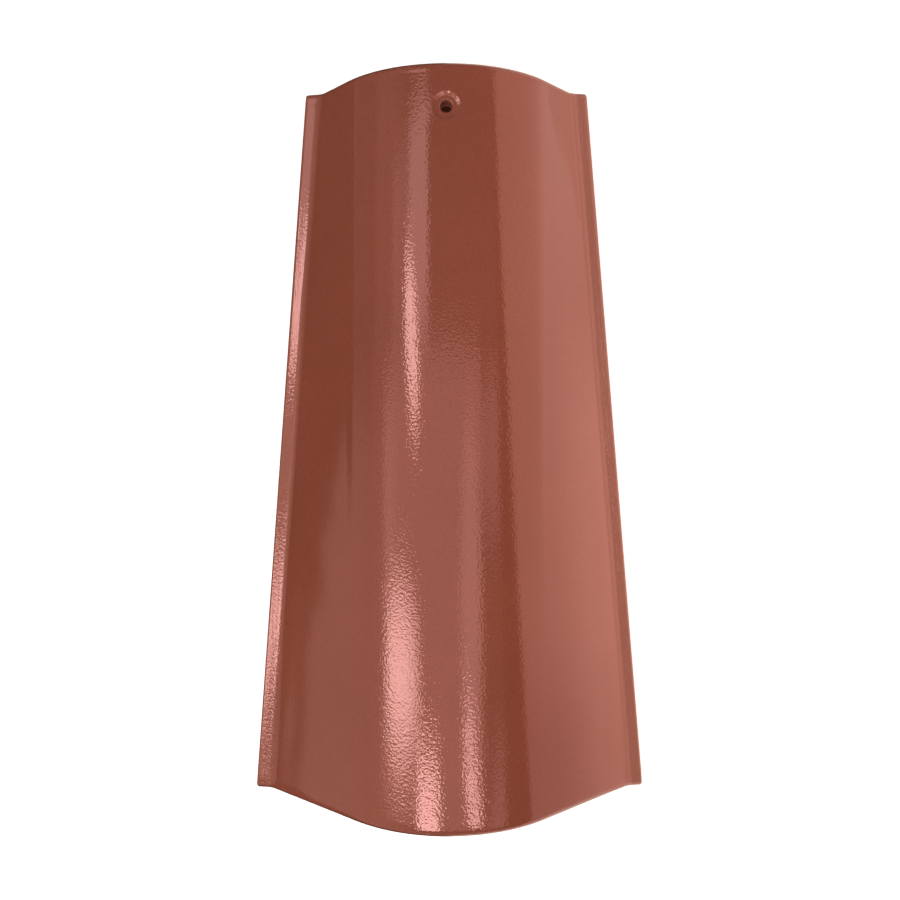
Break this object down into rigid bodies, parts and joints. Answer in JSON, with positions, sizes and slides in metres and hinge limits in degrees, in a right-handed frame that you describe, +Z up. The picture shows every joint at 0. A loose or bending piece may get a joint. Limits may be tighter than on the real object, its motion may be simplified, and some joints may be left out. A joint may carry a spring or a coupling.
{
  "type": "clay ridge tile",
  "caption": "Tapered glazed clay ridge tile: an arched shell with outward feet along both sides, wide at the tail and narrow at the head, with a nail hole in a dished seat.",
  "frame": {"origin": "middle of the tile's length and width, on the plane of the two soles", "axes": "+Z up out of the arch, +Y from the wide tail to the narrow head, +X to the right when looking along +Y"},
  "size_m": [0.2368, 0.42, 0.0777],
  "materials": {
    "glazed_clay": "satin brick-red glaze"
  },
  "bodies": {
    "root": {"ridge_tile": "glazed_clay"}
  },
  "joints": []
}
